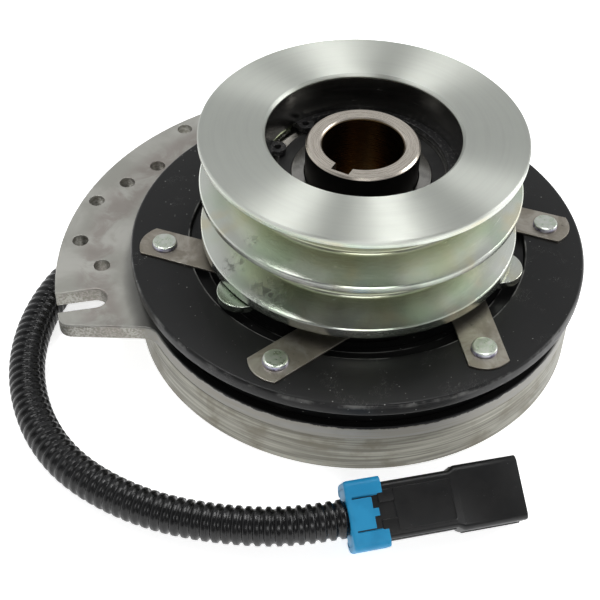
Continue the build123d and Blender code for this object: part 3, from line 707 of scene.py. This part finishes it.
def plugHousing():
    # one loft: the body, the step up to the shroud, its mouth, then back inside down to the socket's floor
    bodyW, bodyH = plug["bodyHalf"]
    wide, tall = plug["shroudHalf"]
    back, corner, step, end = plug["bodyFrom"], plug["bodyRound"], plug["stepAt"], plug["end"]
    wall, floor = plug["wall"], plug["socketFloor"]
    stations = [
        (back, bodyW - 0.5, bodyH - 0.5, 1.2), (back + 0.5, bodyW, bodyH, corner),
        (step - 0.2, bodyW, bodyH, corner), (step, bodyW + 0.1, bodyH + 0.02, 1.7),
        (step + 1.5, wide - 0.25, tall - 0.08, 2.1), (step + 2.0, wide - 0.02, tall, 2.2),
        (end - 0.35, wide, tall, 2.2), (end - 0.1, wide - 0.1, tall - 0.1, 2.1), (end, wide - 0.35, tall - 0.35, 1.9),
        (end, wide - wall + 0.3, tall - wall + 0.3, 1.3), (end - 0.4, wide - wall, tall - wall, 1.1),
        (floor + 0.4, wide - wall - 0.1, tall - wall - 0.1, 1.1), (floor, wide - wall - 0.5, tall - wall - 0.5, 0.9),
    ]
    low, high = bodyH - 1.3, bodyH + 0.5
    parts = [barShape(stations)]
    parts.append(boxBar((15.2, step - 0.5), (-6.8, 6.8), (low, high), 0.3))  # deck, with a window behind it
    for side in (-1, 1):
        parts.append(boxBar((10.2, 15.6), onSide(side, 2.7, 6.8), (low, high), 0.3))
        parts.append(boxBar((12.4, step), onSide(side, 8.2, 9.55), (-3.8, 2.4), 0.3))  # ledge along each side
        parts.append(boxBar((step + 2.4, end - 0.4), onSide(side, 9.8, 10.95), (-5.0, -3.0), 0.25))
    return onPlug(joined(*parts))


def lockClip():
    # sheet wrapped round the plug's rear: columns go round the section, rows go forward, cells make the fingers
    halfW, halfH = plug["lockHalf"]
    slit, tongue, corner = plug["slitAt"], plug["tongueEnd"], 2.3
    flatTop = np.array([-slit[1], -slit[0], -plug["nubHalf"], plug["nubHalf"], slit[0], slit[1]])
    arc = np.linspace(0, pi / 2, 7)
    y = np.concatenate([
        [-8.6], -halfW + corner - corner * np.sin(arc), [-halfW] * 2, -halfW + corner - corner * np.cos(arc),
        flatTop, halfW - corner + corner * np.sin(arc), [halfW] * 2, halfW - corner + corner * np.cos(arc), [8.6],
    ])
    z = np.concatenate([
        [-halfH], -halfH + corner - corner * np.cos(arc), [-3.6, -1.0], halfH - corner + corner * np.sin(arc),
        [halfH] * 6, halfH - corner + corner * np.cos(arc), [-1.0, -3.6],
        -halfH + corner - corner * np.sin(arc), [-halfH],
    ])
    x = np.array([0, 0.15, 0.55, 1.2, tongue[0], plug["windowFrom"], tongue[1], tongue[2], plug["lockLength"]])
    inset = 1.2 * (1 - np.sqrt(np.clip(1 - (1 - np.clip(x / 1.2, 0, 1)) ** 2, 0, 1)))
    shrinkY, shrinkZ = (halfW - inset) / halfW, (halfH - inset * 0.5) / halfH
    outer = np.stack(np.broadcast_arrays(x[:, None], y * shrinkY[:, None], z * shrinkZ[:, None]), -1)
    wall = np.array([(halfW - 1.15) / halfW, (halfH - 0.7) / halfH])
    innerY, innerZ = y * shrinkY[:, None] * wall[0], z * shrinkZ[:, None] * wall[1]
    inner = np.stack(np.broadcast_arrays(x[:, None], innerY, innerZ), -1)
    middleY, middleX = (y[1:] + y[:-1]) / 2, (x[1:] + x[:-1]) / 2
    onTop = ((z[1:] + z[:-1]) / 2 > halfH - 0.01)[None, :]
    far, forward = np.abs(middleY)[None, :], middleX[:, None]
    keep = ~(onTop & (far > slit[0]) & (far < slit[1]) & (forward > tongue[0]))
    keep &= ~(onTop & (far < slit[0]) & (forward > tongue[1]) & ~((far < plug["nubHalf"]) & (forward < tongue[2])))
    window = ((z[1:] + z[:-1]) / 2 < -3.6) & ((z[1:] + z[:-1]) / 2 > -halfH + 0.4)
    keep &= ~(window[None, :] & (forward > plug["windowFrom"]) & (forward < tongue[2]))
    back = barShape([(0.1, halfW - 2.6, halfH - 1.5, 1.2), (0.3, halfW - 1.9, halfH - 1.2, 1.5),
                     (1.1, halfW - 1.1, halfH - 0.66, 1.5), (1.6, halfW - 1.1, halfH - 0.66, 1.5)])
    return onPlug(joined(slabShape(outer, inner, keep), back))


def blades():
    stations = [(37, 1.4, 0.4, 0.1), (50, 1.4, 0.4, 0.1), (51.9, 1.1, 0.22, 0.08), (52.5, 0.8, 0.1, 0.04)]
    points, faces = barShape(stations)
    return onPlug(joined((points + [0, 4, 0], faces), (points - [0, 4, 0], faces)))


plugNylon = moulded("plugNylon", (0.0022, 0.0022, 0.0025), (0.005, 0.0048, 0.0048), 0.30, 1.6, 0.10, 0.0, 0.35)
lockNylon = moulded("lockNylon", (0.006, 0.21, 0.42), (0.012, 0.25, 0.48), 0.36, 1.4, 0.06)
tinned = polishedSteel("tinnedBlade", (0.70, 0.69, 0.64))
housing = addPiece("plug_housing", plugHousing(), plugNylon, "field", ["connector_body"], 40)
clip = addPiece("plug_lock", lockClip(), lockNylon, "field", ["connector_lock"], 40, 0.16)
terminals = addPiece("plug_blades", blades(), tinned, "field", ["connector_terminals"], 40)
print("plug made")

# the belt pulley
zinc = zincPlate("zincTurned", [((-33, -44, 51), 11, 0.35), ((-38, -38, 70), 7, 0.5), ((-45, -29, 50), 8, 0.45)])
pulleyLook = {
    "grooveTop": 16.6, "grooveFloor": 8.8, "grooveRadius": 45.0, "topLand": 3.2, "middleLand": 2.8,
    "floorRound": 1.6, "rimCut": 0.45, "mouthCut": 1.0, "foot": 46.0, "footRise": 0.7,
    "seat": 34.0, "seatFrom": 50.5, "clipLow": 65.5, "clipHigh": 67.9, "clipRadius": 35.4,
}


def pulleyProfile():
    look = pulleyLook
    hole, rim, low, high = ringOf("pulley")
    slant = (look["grooveTop"] - look["grooveFloor"]) / 2
    foot, bottomLand = look["foot"], low + look["footRise"]
    corners = [
        (hole, low, 0.3), (foot, low, 0.2), (foot, bottomLand, 0.1),
        (rim - 0.5, bottomLand, 0.2), (rim, bottomLand + 0.5, 0.2),
    ]
    upper = high - look["topLand"]
    for edge in (upper - look["grooveTop"] - look["middleLand"], upper):
        corners += [
            (rim, edge - look["grooveTop"] - look["rimCut"], 0.15), (rim - 0.35, edge - look["grooveTop"], 0.25),
            (look["grooveRadius"], edge - look["grooveTop"] + slant, look["floorRound"]),
            (look["grooveRadius"], edge - slant, look["floorRound"]),
            (rim - 0.35, edge, 0.25), (rim, edge + look["rimCut"], 0.15),
        ]
    seat = look["seat"]
    corners += [
        (rim, high - look["rimCut"], 0.18), (rim - look["rimCut"], high, 0.18),
        (seat + look["mouthCut"], high, 0.2), (seat, high - look["mouthCut"], 0.2),
        (seat, look["clipHigh"], 0.1), (look["clipRadius"], look["clipHigh"], 0.05),
        (look["clipRadius"], look["clipLow"], 0.05), (seat, look["clipLow"], 0.05),
        (seat, look["seatFrom"], 0.05), (hole, look["seatFrom"], 0.3),
    ]
    return roundCorners(corners, 4)


addPiece("grooved_pulley", turnedShape(pulleyProfile(), 320), zinc, "pulley", ["pulley"], 32)
print("pulley made")

# the armature, its springs and rivets
springs = {
    "count": 6, "first": -173.4, "pinRadius": 70.5, "turn": 25.2, "span": 38.0, "halfWidth": 7.15,
    "outerEnd": 9.0, "innerEnd": 8.0, "sag": 2.6, "edge": 0.14,
}
springAngles = springs["first"] + np.arange(springs["count"]) * 360 / springs["count"]
armature = {"stepRadius": 61.5, "stepTop": 32.2, "lipRadius": 56.0, "lipTop": 31.1, "segments": 320}
discHole, discRim, discLow, discTop = ringOf("armature_disc")
discSteps = [(armature["stepRadius"] + 0.2, discTop), (armature["lipRadius"] + 0.2, armature["stepTop"])]
discBlack = blackCoat("armatureBlack", (discRim, discTop), discSteps)
discProfile = roundCorners([
    (discHole, discLow, 0.3), (discRim, discLow, 1.0), (discRim, discTop, 1.2), (armature["stepRadius"], discTop, 0.6),
    (armature["stepRadius"], armature["stepTop"], 0.5), (armature["lipRadius"], armature["stepTop"], 0.5),
    (armature["lipRadius"], armature["lipTop"], 0.3), (discHole, armature["lipTop"], 0.3),
], 5)
discShape = turnedShape(discProfile, armature["segments"])
addPiece("armature_plate", discShape, discBlack, "armature", ["armature_disc"], 45)


def springShape(angle):
    # strap: u along from the outer end to the inner, v across; both ends bulge by sag * (1 - v * v)
    look = springs
    u, v = np.meshgrid(np.linspace(0, 1, 25), np.linspace(-1, 1, 13), indexing="ij")
    start = -look["outerEnd"] + look["sag"] * v ** 2
    end = look["span"] + look["innerEnd"] - look["sag"] * v ** 2
    along, across = start + (end - start) * u, v * look["halfWidth"]
    heading = radians(angle + 180 - look["turn"])
    pin = polarPoint(look["pinRadius"], angle)
    x = pin[0] + along * cos(heading) - across * sin(heading)
    y = pin[1] + along * sin(heading) + across * cos(heading)
    low, high = springZ
    return slabShape(np.stack([x, y, high + 0 * x], -1), np.stack([x, y, low + 0 * x], -1))


strip = stripSteel("springStrip")
springZ = tuple(span[2] for span in spanOf("leaf_spring_1"))
for number, angle in enumerate(springAngles, start=1):
    name = f"leaf_spring_{number}"
    shape = springShape(angle)
    piece = addPiece(f"spring_strap_{number}", shape, strip, None, [name], 40, springs["edge"])
    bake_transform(piece)


rivet = {"shank": 2.5, "head": 4.6}


def rivetShape(centres, foot, seat, top):
    # shank and low crowned head turned about each centre's own axis
    shank, head = rivet["shank"], rivet["head"]
    profile = roundCorners([
        (0, foot, 0), (shank, foot, 0.2), (shank, seat, 0.1), (head - 0.12, seat, 0.1), (head, seat + 0.35, 0.2),
        (head - 0.35, top - 0.18, 0.45), (head - 1.0, top - 0.05, 0.6), (0, top, 0),
    ], 4)
    points, faces = turnedShape(profile, 48, closed=False)
    return joined(*[(points + [*centre[:2], 0], faces) for centre in centres])


(_, _, rivetFoot), (_, _, crown) = spanOf("armature_rivets")
rivetPlaces = [polarPoint(springs["pinRadius"], angle) for angle in springAngles]
rivetMetal = rivetZinc("rivetZinc", crown)
addPiece("crowned_rivets", rivetShape(rivetPlaces, rivetFoot, springZ[1], crown), rivetMetal, "armature",
         ["armature_rivets"], 50)
print("armature, springs and rivets made")

# hub, field cup and plate
hub = {"bore": 14.2875, "key": -117.0, "keyHalf": 3.175, "keyDepth": 3.2, "seat": 20.0, "shoulder": 24.0, "cut": 0.7,
       "footCut": 0.5, "shoulderFrom": 18.0, "shoulderTo": 50.5}


def hubShape():
    # rows of closed loops: the bore with its key seat inside, plain circles outside, climbing by height
    side = np.arcsin(hub["keyHalf"] / hub["bore"])
    arc = np.linspace(side, 2 * pi - side, 180)
    floor = np.linspace(-hub["keyHalf"], hub["keyHalf"], 7)
    deep = hub["bore"] + hub["keyDepth"]
    x = np.concatenate([hub["bore"] * np.cos(arc), deep + 0 * floor])
    y = np.concatenate([hub["bore"] * np.sin(arc), floor])
    direction = np.arctan2(y, x)
    turn, radius = radians(hub["key"]), np.hypot(x, y)
    direction[180:] = np.linspace(-side * 0.8, side * 0.8, 7) % (2 * pi)
    inner = np.arctan2(y, x) + turn
    outer = direction + turn
    top = ringOf("input_hub")[3]
    rows = [(True, hub["cut"], top), (True, 0, top - hub["cut"]), (True, 0, hub["footCut"]), (True, hub["footCut"], 0)]
    rows += [(False, hub["seat"] - hub["footCut"], 0), (False, hub["seat"], hub["footCut"]),
             (False, hub["seat"], hub["shoulderFrom"]), (False, hub["shoulder"], hub["shoulderFrom"]),
             (False, hub["shoulder"], hub["shoulderTo"]), (False, hub["seat"], hub["shoulderTo"]),
             (False, hub["seat"], top - hub["cut"]), (False, hub["seat"] - hub["cut"], top)]
    loops = []
    for inside, value, height in rows:
        reach, way = (radius + value, inner) if inside else (value, outer)
        loops.append(np.stack([reach * np.cos(way), reach * np.sin(way), height + 0 * way], -1))
    return np.concatenate(loops), gridFaces(len(rows), len(x), closeRows=True).tolist()


hubMetal = groundSteel("hubSteel", hub["bore"], hub["seat"], ringOf("input_hub")[3])
addPiece("keyed_hub", hubShape(), hubMetal, "rotor", ["input_hub"], 30)

cup = {
    "wallTop": 16.0, "wallInside": 78.2, "floorTop": 4.0, "pole": 41.0, "seat": 34.0, "seatFrom": 3.0,
    "clipRadius": 35.4, "clipLow": 18.0, "clipHigh": 20.4, "footCut": 0.6,
}
cupSteel = bareSteel("cupSteel", (0.33, 0.325, 0.28), (0.165, 0.16, 0.135), (0.17, 0.155, 0.12), 0.9)


def cupProfile():
    # outside and wall, the floor, the inner pole, then down its bore past the retaining ring's groove
    hole, rim, _, high = ringOf("field_shell")
    wallTop, inside, floor, pole = cup["wallTop"], cup["wallInside"], cup["floorTop"], cup["pole"]
    seat, groove, cut = cup["seat"], cup["clipRadius"], cup["footCut"]
    return roundCorners([
        (hole, 0, 0.3), (rim - cut, 0, 0.2), (rim, cut, 0.3), (rim, wallTop, 0.25), (inside, wallTop, 0.1),
        (inside, floor, 0.4), (pole, floor, 0.3), (pole, high, 0.5), (seat, high, 0.4),
        (seat, cup["clipHigh"], 0.05), (groove, cup["clipHigh"], 0.05), (groove, cup["clipLow"], 0.05),
        (seat, cup["clipLow"], 0.05), (seat, cup["seatFrom"], 0.1), (hole, cup["seatFrom"], 0.3),
    ], 4)


addPiece("field_cup", turnedShape(cupProfile(), 320), cupSteel, "field", ["field_shell"], 35)
softenNode("mounting_plate", plateSteel("plateSteel"), 0.4)
print("hub, cup and plate made")

# pieces that keep their own shape
softenNode("drive_flange", zincPlate("zincFlange", [((-42, -36, 38), 6, 0.4)], 0.0), 0.45)
softenNode("pulley_snap_ring", blackOxide("clipOxide"), 0.2)
bearingSteel = polishedSteel("bearingSteel", (0.34, 0.33, 0.31))
sealRubber = moulded("sealRubber", (0.010, 0.010, 0.010), (0.020, 0.020, 0.019), 0.42, 3.0, 0.2)
cageNylon = moulded("cageNylon", (0.50, 0.44, 0.33), (0.60, 0.54, 0.42), 0.45)
rotorBlack = blackCoat("rotorBlack")
finishes = {
    "bearing_steel": bearingSteel, "seal_rubber": sealRubber, "cage_nylon": cageNylon, "black_coat": rotorBlack,
    "black_oxide": bpy.data.materials["clipOxide"], "rivet_zinc": rivetMetal, "plug_black": plugNylon,
    "copper": woundCopper("windingCopper"), "wire_insulation": loomPlastic,
    "bobbin_plastic": moulded("bobbinNylon", (0.05, 0.04, 0.03), (0.08, 0.065, 0.05), 0.5),
    "coil_tape": moulded("varnishedTape", (0.38, 0.27, 0.12), (0.50, 0.38, 0.20), 0.5, 4.0, 0.5),
    "friction": moulded("frictionPad", (0.09, 0.075, 0.06), (0.17, 0.14, 0.11), 0.75, 2.0, 0.6, 0.0, 0.3),
}
for name, node in nodes.items():
    if not node.hide_render:
        node.data.materials.clear()
        node.data.materials.append(finishes[slotOf[name]])
print("kept nodes finished")
